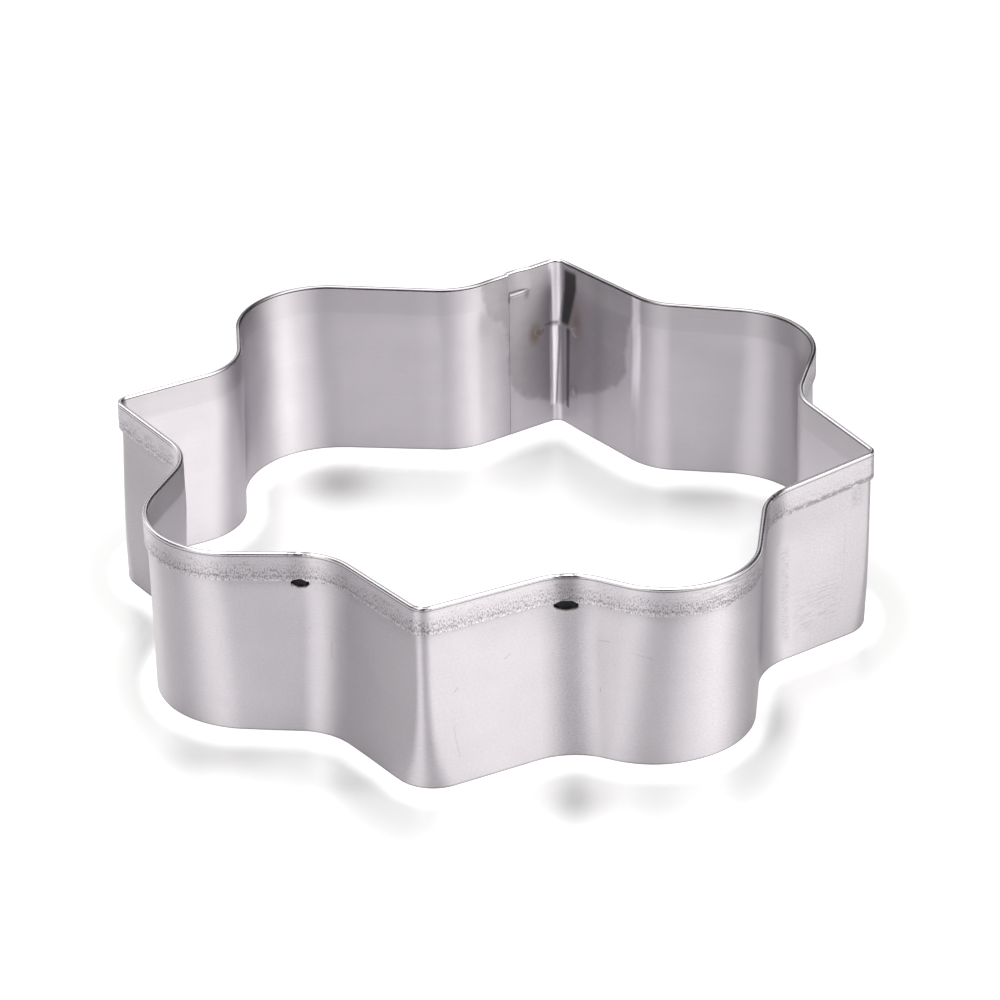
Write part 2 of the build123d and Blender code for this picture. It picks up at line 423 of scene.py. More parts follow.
# %% Places on the strip
spring_power = 3.5      # the tips open softly in the lowest few millimetres only
draw_in_line = 16.5     # the wall leaves the recess again from this height to the hem line


def placed(lines, offset, height, step, along):
    """Points for every column and row: the plan at the row's height, moved outwards.

    The plan goes evenly from the ankle's line to the recess and smoothly on to the rim. The
    foot's soft tips come on top, as a power of what is left of the height.
    """
    rise = np.clip(height / recess_line, 0, 1)[None, :, None]
    close = smooth((height - draw_in_line) / (hem_line - draw_in_line))[None, :, None]
    foot, ankle, recess, rim = ([side[:, None] for side in lines[level]]
                                for level in ("foot", "ankle", "recess", "rim"))
    plan, out = ((ankle[i] * (1 - rise) + recess[i] * rise) * (1 - close) + rim[i] * close
                 + (foot[i] - ankle[i]) * (1 - rise) ** spring_power for i in (0, 1))
    out = out / np.linalg.norm(out, axis=-1, keepdims=True)
    move = offset[None] + step[:, None] + swell(along[:, None], height[None])
    flat = plan + out * move[..., None]
    tall = np.broadcast_to(height[None, :, None], flat.shape[:2] + (1,))
    return np.concatenate((flat, tall), axis=-1)


joggle = lap_step * (1 - smooth((along - butt_reach) / joggle_length))
main_points = placed(main_lines, ring_offset, ring_height, np.where(feature == 0, joggle, 0),
                     along)
print("points of the full section", main_points.shape)

# %% [markdown]
# ## The lap's layers
# At the lap the real strip is a wall with a slit over it, a fold that steps out over the slit,
# and a plain tab that goes round the tip outside. They could be objects of their own, pushed
# together until they look joined. Here they are blocks of columns from the same function, each
# with its own rows and its own step, so that their points meet.

# %% The ledge, the stepped fold and the tab
# Under the slit the inner end leans in, so that its cut edge shows as a ledge: by this much at
# most, rising from the given height over the first span, and past the jog over the second.
ledge_lean, lean_line, lean_rise, lean_run = 0.3, 20.0, 2.0, 1.0
below_slit = smooth((ring_height - lean_line) / lean_rise) * (ring_height <= slit_line)
past_slit = smooth((from_seam - jog_end) / lean_run) * (along > tip_along)
lean = ledge_lean * below_slit[None] * past_slit[:, None]
main_points[..., :2] -= main_lines["rim"][1][:, None] * lean[..., None]
hem_columns = np.arange(slit_column + 1, len(along))
hem_rows = np.arange(slit_row, ring - 2 - slit_row)
hem_lines = {level: tuple(side[hem_columns] for side in main_lines[level]) for level in levels}
hem_points = placed(hem_lines, ring_offset[hem_rows], ring_height[hem_rows],
                    lap_step * smooth((from_seam[hem_columns] - slit_start) / hem_jog),
                    along[hem_columns])
tab_rows = np.r_[0:tab_row + 1, ring - 2 - tab_row - 1:ring]
tab_points = placed({level: tuple(side[:-1] for side in tab_lines[level]) for level in levels},
                    ring_offset[tab_rows], ring_height[tab_rows],
                    np.full(len(tab_along) - 1, lap_step), tab_along[:-1])
print("points of the fold's step", hem_points.shape, "and of the tab", tab_points.shape)


# %% [markdown]
# ## One closed skin
# The grid becomes one watertight mesh. Over most of its length the section is a single ring of
# points. Past the slit the ring splits in two: the wall runs on behind the tip, and the fold
# steps outwards over it. At the strip's other end only the wall goes on, as the tab that wraps
# round the tip outside. A boolean could cut and join such layers, but it leaves slivers. Here
# the rings share their points where they part, so no seam is open.

# %% Faces between rings
def tube(rings):
    """Quads between neighbouring closed rings of point numbers."""
    following = np.roll(rings, -1, axis=1)
    return np.stack((rings[:-1], rings[1:], following[1:], following[:-1]),
                    axis=-1).reshape(-1, 4)


def numbered(grid, first):
    """Point numbers for a grid of points, counted on from the first, a row for each column."""
    return first + np.arange(grid.shape[0] * grid.shape[1]).reshape(grid.shape[:2])


main_numbers = numbered(main_points, 0)
hem_numbers = numbered(hem_points, main_numbers.size)
tab_numbers = numbered(tab_points, main_numbers.size + hem_numbers.size)
back = ring - 3 - np.arange(rows)      # the back face's number opposite each row
wall_ring = np.r_[0:slit_row + 1, back[slit_row]:ring]
quads = [tube(rings) for rings in (
    main_numbers[:slit_column + 1], main_numbers[slit_column:][:, wall_ring],
    np.vstack((main_numbers[slit_column, hem_rows], hem_numbers)),
    np.vstack((tab_numbers, main_numbers[0, tab_rows])))]
print("ring parts", len(wall_ring), len(hem_rows), len(tab_rows))

# %% [markdown]
# ## Cut ends
# The strip was cut square. One of its ends is slit and the other cut back, which makes four
# flat faces as thin as the sheet. Blender's fill would close each with one large face that
# shades badly, so each gets a ladder of quads and one small face at its lip or foot.

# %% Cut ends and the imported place
hem_half, tab_half = rows - slit_row, tab_row + 1
foot_corners = np.array((0, -1, -2, -3))
# Each end: its point numbers, the rows of one face, the rows that face them, the last face
ends = ((main_numbers[0], np.arange(tab_row, rows), back[tab_row:],
         np.arange(lip_start, lip_end + 1)),
        (main_numbers[-1], np.arange(slit_row + 1), back[:slit_row + 1], foot_corners),
        (hem_numbers[-1], np.arange(hem_half), len(hem_rows) - 1 - np.arange(hem_half),
         np.arange(hem_half - 1, hem_half + len(lip) + 1)),
        (tab_numbers[0], np.arange(tab_half), 2 * tab_half - 1 - np.arange(tab_half),
         foot_corners))
for numbers, front, behind, _ in ends:
    one, other = numbers[front], numbers[behind]
    quads.append(np.stack((one[:-1], one[1:], other[1:], other[:-1]), axis=-1))
quads = np.concatenate(quads)
caps = [numbers[cap] for numbers, _, _, cap in ends]
faces = quads.tolist() + [cap.tolist() for cap in caps]
points = np.concatenate([grid.reshape(-1, 3) for grid in (main_points, hem_points, tab_points)])
plan_middle = np.array((-0.551, 1.201))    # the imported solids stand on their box's middle
points[:, :2] -= plan_middle
low, high = (np.array(corner) / MM for corner in cad_box)
print("outside the packed box by", np.round(np.maximum(low - points, points - high).max(0), 3))
points = np.clip(points, low, high)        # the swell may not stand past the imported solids
print("faces", len(faces))

# %% [markdown]
# ## Where the welder touched the sheet
# The electrodes and the cleaner that followed them left the steel round the rear tip dull and
# grey, with a wandering edge. An image could paint it, but here the patch is drawn as an outline
# on the flat strip, and every point of the mesh keeps its distance to that outline, positive
# inside. A finish can then give the edge any softness.

# %% Distance to a drawn outline
grey_patch = np.array(((-14.8, 26.0), (-15.6, 22.5), (-14.1, 18.4), (-13.7, 14.8), (-14.2, 12.6),
                       (-12.3, 10.0), (-7.5, 7.0), (-3.9, 5.2), (-0.3, 2.4), (0.3, 2.9),
                       (2.3, 3.7), (5.4, 5.0), (7.4, 6.8), (8.4, 9.6), (8.6, 15.8), (9.4, 18.1),
                       (10.6, 18.3), (11.9, 19.8), (12.3, 21.6), (12.9, 23.0), (12.2, 26.0)))


def inside_by(place, outline):
    """Distance from each place to a closed outline, positive inside it.

    The nearest point of every edge is found at once; a place is inside when a
    level ray from it crosses the edges an odd number of times.
    """
    start, end = outline, np.roll(outline, -1, axis=0)
    edge = end - start
    to_place = place[:, None] - start[None]
    share = np.clip((to_place * edge).sum(-1) / (edge ** 2).sum(-1), 0, 1)
    gap = np.linalg.norm(to_place - edge * share[..., None], axis=-1).min(axis=1)
    level = place[:, None, 1]
    crosses = (start[:, 1] > level) != (end[:, 1] > level)
    rise = np.where(edge[:, 1] == 0, 1, edge[:, 1])
    where = start[:, 0] + edge[:, 0] * (level - start[:, 1]) / rise
    odd = (crosses & (where > place[:, None, 0])).sum(axis=1) % 2
    return np.where(odd == 1, gap, -gap)


half_way_up = np.array(((0.0, cutter_height / 2),))
print("half way up, the rear tip is inside the patch by",
      round(float(inside_by(half_way_up, grey_patch)[0]), 1), "mm")


# %% [markdown]
# ## The strip as a Blender object
# Steel keeps its marks where the flat strip had them, however it is bent later. A pattern on
# Object coordinates would cut straight through the bends. So every point carries its place on
# the flat strip as attributes: along it, the walk round its section, the distance from the rear
# tip, and the depth in the patch and in the hollows. A map of walk and place tells the steel
# which way it was rolled.

# %% The strip's mesh
def closed_skin(mesh):
    """Turns a closed mesh's faces outwards. Gives its number of open edges and its volume."""
    skin = bmesh.new()
    skin.from_mesh(mesh)
    bmesh.ops.recalc_face_normals(skin, faces=skin.faces)
    found = sum(1 for edge in skin.edges if len(edge.link_faces) != 2), skin.calc_volume()
    skin.to_mesh(mesh)
    skin.free()
    return found


def keep_values(mesh, **values):
    """Stores a number for every point of a mesh, under a name that its finish reads."""
    for title, numbers in values.items():
        mesh.attributes.new(title, "FLOAT", "POINT").data.foreach_set(
            "value", numbers.astype(np.float32))


def for_points(on_main, on_tab):
    """A column's value for each of its points, in the order of the mesh."""
    return np.concatenate((np.repeat(on_main, ring),
                           np.repeat(on_main[hem_columns], len(hem_rows)),
                           np.repeat(on_tab[:-1], len(tab_rows))))


alongs, seams = for_points(along, tab_along), for_points(from_seam, tab_along)
walks = np.concatenate((np.tile(ring_walk, len(along)),
                        np.tile(ring_walk[hem_rows], len(hem_columns)),
                        np.tile(ring_walk[tab_rows], len(tab_along) - 1)))
strip_mesh = bpy.data.meshes.new("cutter_strip")
strip_mesh.from_pydata(points * MM, [], faces)
strip_mesh.update()
open_edges, volume = closed_skin(strip_mesh)
keep_values(strip_mesh, along=alongs, walk=walks, from_seam=seams,
            stain=inside_by(np.column_stack((seams, points[:, 2])), grey_patch),
            hollow=np.max([hollow(alongs, points[:, 2], *shape[:4]) for shape in hollows], axis=0))
print("triangles", sum(len(face) - 2 for face in faces), "open edges", open_edges,
      "volume mm3", round(volume / MM ** 3, 1))

# %% The strip's grain and its place in the frame
crease_angle, map_size = radians(40), 100
corner_vertex = np.empty(len(strip_mesh.loops), dtype=np.int32)
strip_mesh.loops.foreach_get("vertex_index", corner_vertex)
grain_map = strip_mesh.uv_layers.new(name="grain")
grain_map.data.foreach_set("uv", np.stack((walks[corner_vertex], alongs[corner_vertex]),
                                          axis=-1).astype(np.float32).ravel() / map_size)
strip_mesh.shade_smooth()
strip_mesh.set_sharp_from_angle(angle=crease_angle)
strip = in_scene("cutter_strip", strip_mesh)
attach(strip, "root")
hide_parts("hemmed_strip")
print("corners in the grain map", len(corner_vertex))

# %% [markdown]
# ## Building blocks for the finishes
# Each finish is a tree of nodes. Laid out by hand in the shader editor, such a tree is easy to
# see and hard to change. Short helpers that add a node, set it and link its inputs in one call
# let a finish be read from top to bottom.

# %% Node helpers
def plugged(tree, made, inputs):
    """Sets or links a node's inputs, by name or by number, and gives the node back."""
    for key, value in inputs.items():
        if isinstance(value, bpy.types.NodeSocket):
            tree.links.new(value, made.inputs[key])
        else:
            made.inputs[key].default_value = value
    return made


def node(tree, kind, inputs=None, **settings):
    """Adds one shader node with its settings and its inputs."""
    made = tree.nodes.new("ShaderNode" + kind)
    for key, value in settings.items():
        setattr(made, key, value)
    return plugged(tree, made, inputs or {})


def calc(tree, operation, *values):
    """One Math node. Its inputs are sockets or numbers."""
    return node(tree, "Math", dict(enumerate(values)), operation=operation).outputs[0]


def product(tree, first, *others):
    """All the values multiplied, which is also where all of several masks meet."""
    for other in others:
        first = calc(tree, "MULTIPLY", first, other)
    return first


def remap(tree, value, low, high, to_low=0.0, to_high=1.0, soft=True):
    """A ramp of a value between two limits, level at both ends when it is soft."""
    return node(tree, "MapRange", {"Value": value, "From Min": low, "From Max": high,
                                   "To Min": to_low, "To Max": to_high},
                interpolation_type="SMOOTHSTEP" if soft else "LINEAR").outputs[0]


def spread(tree, value, to_low, to_high):
    """Noise, which keeps mostly between a quarter and three quarters, put onto a range."""
    return remap(tree, value, 0.25, 0.75, to_low, to_high, False)


def noise(tree, where, scale=1.0, detail=2.0, roughness=0.5):
    """Fractal noise at a scale, near 0.5 on average."""
    return node(tree, "TexNoise", {"Vector": where, "Scale": scale, "Detail": detail,
                                   "Roughness": roughness}).outputs[0]


def stretched(tree, x, y, x_scale, y_scale):
    """A place on the sheet with each way scaled on its own."""
    return node(tree, "CombineXYZ", {0: product(tree, x, x_scale),
                                     1: product(tree, y, y_scale)}).outputs[0]


print("node helpers", [made.__name__ for made in (node, calc, product, remap, spread, noise)])

# %% [markdown]
# ## Effects that several finishes share
# Roll lines, small marks and a mask with two edges come back in every finish of this cutter.
# Each is built once as a node group with named inputs and one output, and a finish places the
# group with its own values.

# %% Shared effects as groups
line_stretch = 0.06                      # one line wanders over some 16 mm of strip


def lined(tree, given):
    """Fine lines along the strip: noise stretched far along it and packed close across it."""
    place = stretched(tree, given["Along"], given["Walk"], line_stretch, given["Fineness"])
    return noise(tree, place, detail=3.0, roughness=0.6)


def speckled(tree, given):
    """Small marks: where a stretched noise passes a threshold, with a short ramp."""
    place = stretched(tree, given["Along"], given["Walk"], given["Along Scale"],
                      given["Walk Scale"])
    return remap(tree, noise(tree, place, roughness=0.6), given["Threshold"],
                 calc(tree, "ADD", given["Threshold"], given["Softness"]))


def windowed(tree, given):
    """One between two limits and nothing beyond them, with soft edges."""
    return product(tree, *(remap(tree, calc(tree, "SUBTRACT", given[more], given[less]), 0.0,
                                 given["Softness"])
                           for more, less in (("Value", "Low"), ("High", "Value"))))


for title, body, inputs in (
        ("lines", lined, ("Along", "Walk", "Fineness")),
        ("speckle", speckled, ("Along", "Walk", "Along Scale", "Walk Scale", "Threshold",
                               "Softness")),
        ("window", windowed, ("Value", "Low", "High", "Softness"))):
    tree = bpy.data.node_groups.new(title, "ShaderNodeTree")
    for name in inputs:
        tree.interface.new_socket(name=name, in_out="INPUT", socket_type="NodeSocketFloat")
    tree.interface.new_socket(name="Mask", in_out="OUTPUT", socket_type="NodeSocketFloat")
    given, result = tree.nodes.new("NodeGroupInput"), tree.nodes.new("NodeGroupOutput")
    plugged(tree, result, {"Mask": body(tree, {name: given.outputs[name] for name in inputs})})
print("groups", [tree.name for tree in bpy.data.node_groups])


# %% Groups and noise placed on the sheet
def grouped(tree, title, inputs):
    """Places a node group in a tree, sets or links its inputs and gives its mask."""
    made = tree.nodes.new("ShaderNodeGroup")
    made.node_tree = bpy.data.node_groups[title]
    return plugged(tree, made, inputs).outputs[0]


def window(tree, value, low, high, softness):
    """One while the value is between two limits."""
    return grouped(tree, "window", {"Value": value, "Low": low, "High": high,
                                    "Softness": softness})


def near(tree, at, middle, half, softness):
    """One on the stretch of strip that reaches a half length to both sides of its middle."""
    return window(tree, at["along"], middle - half, middle + half, softness)


def roll_lines(tree, at, fineness):
    """The lines that the rolls left, so many to a millimetre across the strip."""
    return grouped(tree, "lines", {"Along": at["along"], "Walk": at["walk"],
                                   "Fineness": fineness})


def sheet_noise(tree, at, along_scale, walk_scale, detail=2.0):
    """Noise on the flat sheet, so that no pattern jumps where the sheet is folded."""
    return noise(tree, stretched(tree, at["along"], at["walk"], along_scale, walk_scale),
                 detail=detail)


# Small marks from noise: scale along the strip and across it, threshold and softness
mark_kinds = {"specks": (2.2, 2.6, 0.71, 0.04), "scratches": (0.35, 7.0, 0.70, 0.05),
              "strokes": (0.35, 4.5, 0.50, 0.10), "ragged line": (1.2, 10.0, 0.46, 0.12),
              "stipple": (6.0, 2.8, 0.46, 0.14), "dots": (6.5, 4.2, 0.58, 0.06),
              "dragged": (0.5, 4.5, 0.46, 0.12), "lip highlight": (1.6, 0.8, 0.45, 0.12),
              "under the lip": (1.1, 0.8, 0.42, 0.12), "torn lip": (0.9, 1.4, 0.36, 0.10),
              "crinkles": (1.4, 2.0, 0.42, 0.10)}


def marks(tree, at, kind):
    """Small marks of one kind, as a mask."""
    return grouped(tree, "speckle", dict(zip(
        ("Along", "Walk", "Along Scale", "Walk Scale", "Threshold", "Softness"),
        (at["along"], at["walk"], *mark_kinds[kind]))))


print("kinds of small marks", len(mark_kinds))

# %% [markdown]
# ## Steel
# Cold-rolled steel keeps the fine lines of the rolls along the strip, so a highlight on it
# smears upwards and downwards and the wall shows soft upright bands. A plain rough metal would
# smear it alike in every direction. An anisotropic one does this when its tangent points up the
# wall, which the grain map gives. Every mark is then a factor on the steel's brightness: under
# one for dirt, tarnish and painted shade, over one for painted highlights.

# %% Steel finishes
steel_tone, brown_tint = (0.560, 0.530, 0.565), (0.80, 0.62, 0.42)


def steel(name, roughness, anisotropy, finish):
    """A metal whose tone and roughness come from a finish, as factors on its own."""
    material = bpy.data.materials.new(name)
    material.use_nodes = True
    tree = material.node_tree
    shader = tree.nodes["Principled BSDF"]
    shader.inputs["Metallic"].default_value = 1.0
    shader.inputs["Anisotropic"].default_value = anisotropy
    if anisotropy:
        tangent = node(tree, "Tangent", direction_type="UV_MAP", uv_map="grain")
        plugged(tree, shader, {"Tangent": tangent.outputs[0]})
    at = {title: node(tree, "Attribute", attribute_name=title).outputs["Fac"]
          for title in ("along", "walk", "from_seam", "stain", "hollow")}
    at["place"] = node(tree, "TexCoord").outputs["Object"]
    at["height"] = product(tree, node(tree, "SeparateXYZ", {0: at["place"]}).outputs[2], 1 / MM)
    shade, rough, brown = finish(tree, at)
    toned = node(tree, "VectorMath", {0: steel_tone, 3: shade}, operation="SCALE").outputs[0]
    tarnished = node(tree, "VectorMath", {0: toned, 1: brown_tint},
                     operation="MULTIPLY").outputs[0]
    colour = node(tree, "Mix", {0: brown, 6: toned, 7: tarnished}, data_type="RGBA").outputs[2]
    plugged(tree, shader, {"Base Color": colour, "Roughness": product(tree, rough, roughness)})
    return material


def shaded(tree, shade, *toned):
    """The shade times one plus each amount, where the mask before that amount is one."""
    for mask, amount in toned:
        shade = product(tree, shade, calc(tree, "MULTIPLY_ADD", mask, amount, 1.0))
    return shade


print("steel tone", steel_tone)

# %% [markdown]
# ## Beside the rear tip
# Beside the rear tip the finish paints a bright bar, a painted highlight where the tip's arc
# reflects light, with a black bar of painted shade beside it in the crease, and finer bright and
# dark lines below. The slit's cut edge gets painted highlights. Painting them would need an
# image, so each mark is a row of numbers: a window across the strip, whose edges may lean, times
# a window of heights.

# %% Painted light and shade beside the rear tip
upper_bar, lower_bar, bar_turns, line_turns = ((15.5, 26.0, 0.5), (2.4, 15.3, 0.5),
                                               (15.5, 20.5), (2.5, 13.0))
# Each crease mark: its first edge at two heights, its second edge there, those heights, its
# softness, the heights it spans and their softness. The bright ones are painted highlights. The
# dark ones end with how much darker; the first four are painted shade in the crease, the black
# bar darkest, and the last is a short level line.
crease_highlights = (((-0.35, -1.05), (1.25, 1.4), bar_turns, 0.3, upper_bar),
                  ((0.3, -0.2), (1.35, 1.3), line_turns, 0.25, lower_bar))
dark_creases = (((-1.4, -1.4), (0.0, 0.0), line_turns, 0.3, lower_bar, -0.14),
                ((-2.5, -4.2), (-0.2, -0.95), (15.5, 21.5), 0.8, (15.0, 24.4, 0.9), -0.80),
                ((-2.2, -2.5), (-1.3, -1.45), line_turns, 0.3, lower_bar, -0.6),
                ((0.15, -0.55), (0.35, -0.1), line_turns, 0.1, lower_bar, -0.4),
                ((-0.3, -0.3), (2.1, 2.1), line_turns, 0.3, (15.25, 15.7, 0.15), -0.3))
# Painted highlights on the slit's cut edge and a fainter one below it, painted shade between
# them, and a painted highlight at the fold's cut end. Each: across the strip with its softness,
# up the wall with its own, how much
ledge_light_and_shade = (((4.3, 8.2, 0.3), (21.72, 22.04, 0.1), 0.75),
               ((4.6, 7.7, 0.3), (21.35, 21.55, 0.1), 0.35),
               ((4.2, 8.2, 0.3), (21.55, 21.72, 0.08), -0.25),
               ((7.6, 8.3, 0.25), (23.0, 24.1, 0.4), 0.5))


def crease(tree, at, low, high, turns, softness, span):
    """A window whose two edges run straight between two heights, times a window of heights."""
    edges = [remap(tree, at["height"], *turns, *edge, False) for edge in (low, high)]
    return product(tree, window(tree, at["from_seam"], *edges, softness),
                   window(tree, at["height"], *span))


def straight(tree, at, way, across, tall):
    """A mark with level and upright edges: a window along one way times one of heights."""
    return product(tree, window(tree, at[way], *across), window(tree, at["height"], *tall))


def tip_light_and_shade(tree, at):
    """Painted shade and highlights as one shade, and the highlight bars as one mask."""
    dark = [(crease(tree, at, *shape), amount) for *shape, amount in dark_creases]
    ledge = [(straight(tree, at, "from_seam", across, tall), amount)
             for across, tall, amount in ledge_light_and_shade]
    return (shaded(tree, 1.0, *ledge, *dark),
            calc(tree, "MAXIMUM", *(crease(tree, at, *shape) for shape in crease_highlights)))


print("crease marks", len(crease_highlights) + len(dark_creases), "ledge marks", len(ledge_light_and_shade))

# %% [markdown]
# ## Wear on the outside
# A cutter lies in a drawer and is dragged over the bench: its right flank has strokes low down,
# a ragged edge and a pressed line, and single scuffs stand on the front. Noise gives marks
# anywhere, so a window says where they are, and each scuff has a row of its own.

# %% Flank wear and scuffs
# Marks on the right flank: kind, along the strip, up the wall, how much darker
flank_wear = (("strokes", (224.5, 233.2, 1.0), (2.0, 10.0, 1.5), -0.16),
              ("ragged line", (222.3, 224.4, 0.9), (2.0, 17.0, 1.5), -0.26),
              ("ragged line", (233.9, 236.4, 0.8), (17.6, 21.2, 0.9), -0.26),
              (None, (233.20, 233.42, 0.08), (3.0, 17.0, 2.0), -0.10))
# Single scuffs: place along, height, half length, half width, lean, how much darker
scuffs = ((170.1, 15.3, 0.5, 0.12, 0.6, -0.22), (163.4, 12.6, 0.35, 0.14, 0.9, -0.25),
          (162.7, 5.6, 0.14, 2.2, 0.0, -0.14), (183.6, 16.3, 0.9, 0.08, 0.1, -0.22),
          (188.4, 15.3, 1.4, 0.07, -0.25, -0.25), (182.9, 9.5, 0.12, 0.35, 0.0, -0.28),
          (142.6, 12.0, 0.20, 1.1, 0.0, -0.12), (150.6, 14.2, 0.10, 1.0, 0.0, -0.15))
scuff_end_softness, scuff_side_softness = 0.10, 0.06


def scuff(tree, at, middle, height, long_by, wide_by, lean):
    """A short stroke: a window along it times one across it, which follows its lean."""
    x = calc(tree, "SUBTRACT", at["along"], middle)
    y = calc(tree, "SUBTRACT", calc(tree, "SUBTRACT", at["height"], height),
             product(tree, x, lean))
    return product(tree, window(tree, x, -long_by, long_by, scuff_end_softness),
                   window(tree, y, -wide_by, wide_by, scuff_side_softness))


def outer_wear(tree, at, outside, shade):
    """The shade with the flank's wear and the scuffs, on the outer face only."""
    for kind, across, tall, amount in flank_wear:
        zone = product(tree, straight(tree, at, "along", across, tall), outside)
        worn = product(tree, zone, marks(tree, at, kind)) if kind else zone
        shade = shaded(tree, shade, (worn, amount))
    for *shape, amount in scuffs:
        shade = shaded(tree, shade, (product(tree, scuff(tree, at, *shape), outside), amount))
    return shade


print("worn places on the flank", len(flank_wear), "scuffs", len(scuffs))

# %% [markdown]
# ## The wall
# The wall is plain rolled sheet, so it has faint clouds and roll lines all over, a finer grain
# where the outside was brushed, and specks. A studio's ring of light falls alike on both faces
# of the wall, so a short table of stretches paints light and shade onto some of them, and the
# outer face is painted a little darker. The welder's grey patch, the painted highlight beside it
# and the brown heat tint are kept to the inside.

# %% The wall's ground
# Painted light and shade on stretches of the wall: from, to, outside or not, how much brighter
painted_light_and_shade = ((20.0, 38.0, False, -0.08), (38.0, 47.0, False, 0.12), (60.0, 79.0, False, 0.05),
          (266.0, 298.0, False, -0.13), (306.5, 324.5, False, 0.22), (8.3, 16.0, False, 0.14),
          (298.0, 308.0, False, 0.16), (79.0, 94.5, True, -0.18), (119.0, 142.0, True, 0.07))
stretch_softness = 3.0
# Where the outside was brushed against the bench: middle, half the length, how much stronger
brushed = ((178.6, 3.4, 0.09), (202.0, 9.0, 0.04), (231.0, 6.0, 0.06))
cloud_range, line_range, wall_line_fineness = (0.96, 1.04), (-0.025, 0.025), 5.0
grain_scales, inside_grain, outside_more_grain = (3.0, 6.0), 0.02, 0.05
# The first of these paints the outer face a little darker, as painted shade
outside_painted_shade, inside_specks, outside_more_specks, scratch_tone = -0.07, -0.08, -0.22, -0.06


def wall_ground(tree, at, cloud, outside, inside):
    """Clouds, roll lines, painted light and shade, a grain of its own depth, specks, scratches."""
    shade = calc(tree, "ADD", spread(tree, cloud, *cloud_range),
                 spread(tree, roll_lines(tree, at, wall_line_fineness), *line_range))
    shade = shaded(tree, shade, (outside, outside_painted_shade))
    for low, high, side, amount in painted_light_and_shade:
        stretch = window(tree, at["along"], low, high, stretch_softness)
        shade = shaded(tree, shade, (product(tree, stretch, outside if side else inside), amount))
    depth = calc(tree, "MULTIPLY_ADD", outside, outside_more_grain, inside_grain)
    for middle, half, amount in brushed:
        zone = product(tree, near(tree, at, middle, half, half * 0.6), outside)
        depth = calc(tree, "MULTIPLY_ADD", zone, amount, depth)
    grain = spread(tree, sheet_noise(tree, at, *grain_scales), -1.0, 1.0)
    shade = calc(tree, "ADD", shade, product(tree, grain, depth))
    speck_tone = calc(tree, "MULTIPLY_ADD", outside, outside_more_specks, inside_specks)
    return shaded(tree, shade, (marks(tree, at, "specks"), speck_tone),
                  (marks(tree, at, "scratches"), scratch_tone))


print("stretches of polish", len(painted_light_and_shade), "brushed places", len(brushed))

# %% The welder's marks and painted light
# Heat tint round the welds: past the tip, height, half width, half height, how strong
tints = ((3.7, 14.6, 1.5, 2.6, 0.8), (-3.7, 16.4, 1.9, 4.2, 0.5), (-3.2, 6.0, 1.2, 1.3, 0.5))
wander_scale, wander_limits, edge_wander, patch_edge = 0.8, (0.2, 0.8), 0.35, (-0.4, 0.6)
patch_tone, mottle_limits, mottle_range = -0.22, (0.3, 0.7), (0.9, 1.1)
# A painted highlight, an upright bright band inside: place past the tip, rise, how much brighter
bright_band_place, bright_band_rise, bright_band_tone = (-17.1, -14.8, 0.8), (6.0, 15.0), 0.70
# Painted highlight bars: between these two heights, from the first factor to the second
bar_light = (14.5, 15.5, 0.4, 0.1)


def spot(tree, at, across, height, width, tall):
    """A soft round mark: one in its middle and nothing at its edge."""
    ways = [calc(tree, "DIVIDE", calc(tree, "SUBTRACT", at[way], middle), half)
            for way, middle, half in (("from_seam", across, width), ("height", height, tall))]
    squares = (product(tree, way, way) for way in ways)
    return remap(tree, calc(tree, "SQRT", calc(tree, "ADD", *squares)), 1.0, 0.0)


def welder_marks_and_painted_light(tree, at, inside, shade):
    """The tip's painted light and shade, the grey patch with a wandering edge, painted highlights.

    Gives the shade and the patch, which is also rougher.
    """
    wander = sheet_noise(tree, at, wander_scale, wander_scale, 3.0)
    edge = calc(tree, "ADD", at["stain"],
                remap(tree, wander, *wander_limits, -edge_wander, edge_wander, False))
    tip_shading, highlight_bars = tip_light_and_shade(tree, at)
    highlight_bars = product(tree, highlight_bars, inside)
    patch = product(tree, remap(tree, edge, *patch_edge), inside,
                    calc(tree, "SUBTRACT", 1.0, highlight_bars))
    mottle = remap(tree, wander, *mottle_limits, *mottle_range, False)
    bright_band = product(tree, window(tree, at["from_seam"], *bright_band_place),
                  remap(tree, at["height"], *bright_band_rise), inside)
    shade = shaded(tree, shade,
                   (product(tree, inside, calc(tree, "SUBTRACT", tip_shading, 1.0)), 1.0),
                   (product(tree, patch, mottle), patch_tone),
                   (highlight_bars, remap(tree, at["height"], *bar_light)), (bright_band, bright_band_tone))
    return shade, patch


print("heat tints", len(tints))


# %% The wall's finish
wall_cloud_scale, face_blend = 0.22, 0.2
# Painted shade in the hollows under the fold, outside: the depth it comes in over, how much
hollow_shadow, hollow_shade_tone = (0.0, 0.12), -0.93
# A thin line of painted contact shade along the foot: heights it comes in over, how much darker
foot_shade_heights, foot_shade_tone = (0.30, 0.06), -0.45
tint_tone = -0.2
rough_range, under_hem, under_hem_rough, patch_rough = (0.93, 1.07), (20.9, 21.3), 0.3, 0.40


